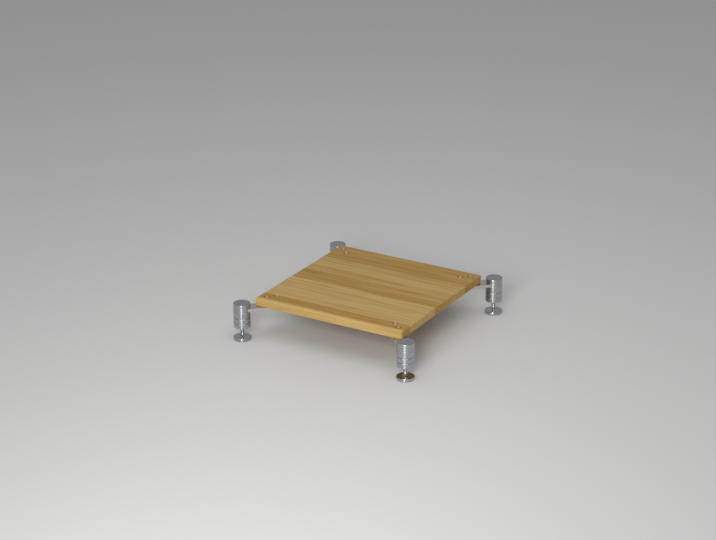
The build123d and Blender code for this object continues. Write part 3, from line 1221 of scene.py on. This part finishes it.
@dataclass
class SpikeFoot(CornerPart):
    """One adjustable foot: the threaded spike, its lock nut and washer, and the floor disc
    with the pad below it."""

    thread: Thread
    cone_length: float = 12.0
    cone_share: float = 0.97           # of the cone, which ends in a small step to the shank
    tip_radius: float = 0.5
    thread_start: float = 0.9          # from the cone to the first turn
    nut_flats: float = 18.0
    nut_bevel_angle: float = 25.0
    bore_play: float = 0.05
    seat_play: float = 0.02            # under the washer, so that the nut turns clear of it
    bore_chamfer: float = 0.7
    washer_diameter: float = 21.0
    disc_diameter: float = 52.0
    disc_round: float = 1.5
    dish_diameter: float = 23.0
    dish_depth: float = 3.6
    dish_lip: float = 0.4
    pad_diameter: float = 45.0
    pad_play: float = 0.1
    pad_round: float = 0.3
    segments: int = 96                 # of the small pieces

    def spike(self) -> Piece:
        """Builds the spike: a small round tip, a turned cone and a threaded shank."""
        low, high = self.levels("spike")
        axis, radius, shoulder = self.corner.axis(), self.thread.diameter / 2, low + self.cone_length
        tip = [(0.0, low)] + arc((0.0, low + self.tip_radius), self.tip_radius, -60, -25, 3)
        wide = self.tip_radius + (radius - self.tip_radius) * self.cone_share
        tip += [(wide, low + self.cone_length * self.cone_share)]
        spike = self.thread.rod(self.corner.node("spike_dressed"), axis, shoulder, high, tip)
        start, stop = shoulder + self.thread_start, high - self.thread.end_chamfer
        self.thread.cut(spike, axis, start, stop, self.finishes.zinc)
        return spike

    def nut(self) -> Piece:
        """Builds the thin hexagon nut, its corners bevelled by a turned cut."""
        low, high = self.levels("lock_nut")
        high -= self.seat_play
        flat, bore = self.nut_flats / 2, self.thread.diameter / 2 + self.bore_play
        reach, lead = flat / cos(pi / 6), self.bore_chamfer
        bevel = (reach - flat) * tan(radians(self.nut_bevel_angle))
        outline = [(bore + lead, low), (flat, low), (reach, low + bevel), (reach, high - bevel)]
        outline += [(flat, high), (bore + lead, high), (bore, high - lead), (bore, low + lead)]
        nut = self.lathe("lock_nut", outline, self.segments, ring=True)
        centre, towards = self.corner.axis(), self.corner.inward()
        sides = hexagon("hexagon", centre, self.nut_flats, towards, (low - CLEAR, high + CLEAR))
        return cut(nut, sides, "INTERSECT")

    def washer(self) -> Piece:
        """Builds the plain washer above the nut."""
        hole = self.thread.diameter + 2 * self.bore_play
        outline = washer_outline(self.levels("lock_washer"), hole, self.washer_diameter)
        return self.lathe("lock_washer", outline, self.segments, ring=True)

    def disc(self) -> Piece:
        """Builds the floor disc: dished above for the spike, recessed below for the pad."""
        low, high = self.levels("floor_disc")
        edge, dish, lip = self.disc_round, self.dish_diameter / 2, self.dish_lip
        rim, recess = self.disc_diameter / 2 - edge, self.pad_diameter / 2 + self.pad_play
        roof, slope = self.levels("disc_pad")[1], self.dish_depth / dish
        bottom = high - self.dish_depth + slope * self.tip_radius
        outline = [(0.0, roof), (recess, roof), (recess, low)]
        outline += arc((rim, low + edge), edge, -90, 0, 5) + arc((rim, high - edge), edge, 0, 90, 5)
        outline += [(dish + lip, high), (dish, high - slope * lip / 2), (dish - lip, high - slope * lip)]
        outline += [(self.tip_radius, bottom), (0.0, bottom - slope * self.tip_radius / 2)]
        return self.lathe("floor_disc", outline)

    def pad(self) -> Piece:
        """Builds the thin rubber pad."""
        low, high = self.levels("disc_pad")
        radius, edge = self.pad_diameter / 2, self.pad_round
        outline = [(0.0, low)] + arc((radius - edge, low + edge), edge, -90, 0, 3)
        return self.lathe("disc_pad", outline + [(radius, high), (0.0, high)], self.segments)

    def build(self) -> None:
        """Builds the foot's pieces and hands each to its own body."""
        looks = self.finishes
        pieces = (
            (self.spike(), "spike", "screw", Slot.PLATED, looks.zinc),
            (self.nut(), "lock_nut", "nut", Slot.PLATED, looks.zinc),
            (self.washer(), "lock_washer", "washer", Slot.PLATED, looks.zinc),
            (self.disc(), "floor_disc", "foot", Slot.CHROME, looks.chrome),
            (self.pad(), "disc_pad", "foot", Slot.PAD, looks.rubber),
        )
        for piece, node, body, slot, material in pieces:
            self.deliver(piece, self.corner.node(body), slot, material, node)


# Stage


def direction(azimuth: float, elevation: float) -> Vector:
    """The unit vector from the stand towards a place round it, from angles in degrees."""
    angle, rise = radians(azimuth), radians(elevation)
    return Vector((sin(angle) * cos(rise), -cos(angle) * cos(rise), sin(rise)))


@dataclass(frozen=True)
class SoftBox:
    """One large soft lamp, placed round the stand and aimed at it."""

    name: str
    azimuth: float                     # degrees from the front, towards the right
    elevation: float
    distance: float                    # metres from the stand
    width: float
    height: float
    level: float                       # brightness that it gives a white card facing it
    spread: float = 180.0              # degrees over which it shines

    def build(self, aim: Vector) -> None:
        """Builds the lamp."""
        lamp = bpy.data.lights.new(self.name, "AREA")
        lamp.shape = "RECTANGLE"
        lamp.size, lamp.size_y = self.width, self.height
        half = radians(self.spread / 2)
        lamp.spread = 2 * half
        lamp.energy = self.level * (pi * self.distance) ** 2 * (1 - half / tan(half))
        holder = add_object(self.name, lamp)
        away = direction(self.azimuth, self.elevation)
        holder.location = aim + away * self.distance
        holder.rotation_euler = away.to_track_quat("Z", "Y").to_euler()


@dataclass
class Studio:
    """The pale floor, the even light and the camera."""

    floor_reach: float = 40.0
    surround: str = "#9C9C9E"
    lamps: tuple[SoftBox, ...] = (
        SoftBox("key soft box", 19.5, 24.0, 3.6, 1.15, 1.2, 0.72, 100.0),
        SoftBox("overhead soft box", 20.0, 74.0, 4.5, 4.6, 4.2, 0.32),
    )
    lamp_aim: tuple[float, float, float] = (0.0, 0.0, 0.06)
    camera_azimuth: float = 30.302
    camera_elevation: float = 22.114
    camera_distance: float = 6.4813
    camera_aim: tuple[float, float, float] = (-0.24998, 0.35892, 0.0)
    focal_length: float = 103.24       # millimetres, on a sensor 36 wide
    sensor_width: float = 36.0

    def floor(self) -> None:
        """Builds the floor, which isn't part of the stand."""
        form = bmesh.new()
        bmesh.ops.create_grid(form, x_segments=1, y_segments=1, size=self.floor_reach)
        mesh = bpy.data.meshes.new("studio_floor")
        form.to_mesh(mesh)
        form.free()
        mesh.materials.append(StudioPaint("studio floor, pale satin paint").build())
        add_object("studio_floor", mesh)

    def surroundings(self) -> None:
        """Lights the whole room evenly."""
        world = bpy.data.worlds.new("studio")
        world.use_nodes = True
        tree = world.node_tree
        tree.nodes.clear()
        light = add_node(tree, "ShaderNodeBackground", {"Color": linear(self.surround)})
        add_node(tree, "ShaderNodeOutputWorld", {"Surface": light})
        bpy.context.scene.world = world

    def camera(self) -> None:
        """Places the camera."""
        data = bpy.data.cameras.new("camera")
        data.lens, data.sensor_width = self.focal_length, self.sensor_width
        data.clip_start, data.clip_end = 0.1, 200.0
        camera = add_object("camera", data)
        away = direction(self.camera_azimuth, self.camera_elevation)
        camera.location = Vector(self.camera_aim) + away * self.camera_distance
        camera.rotation_euler = (-away).to_track_quat("-Z", "Y").to_euler()
        bpy.context.scene.camera = camera

    def build(self) -> None:
        """Builds the stage."""
        self.floor()
        self.surroundings()
        for lamp in self.lamps:
            lamp.build(Vector(self.lamp_aim))
        self.camera()
        bpy.context.scene.view_settings.view_transform = "Standard"


def main() -> None:
    """Builds the stand, sub-assembly by sub-assembly, and its stage."""
    logging.basicConfig(level=logging.INFO, format="%(name)s: %(message)s")
    Studio().build()
    finishes = Finishes.make()
    bolts = ShelfBolts(finishes, make_pattern_tree())
    ShelfBoard(finishes, bolts).build()
    bolts.build()
    thread = Thread(make_thread_tree(), diameter=12.0, pitch=1.75)
    for corner in Corner:
        Arm(finishes, corner).build()
        Column(finishes, corner, thread).build()
        SpikeFoot(finishes, corner, thread).build()


if __name__ == "__main__":
    main()
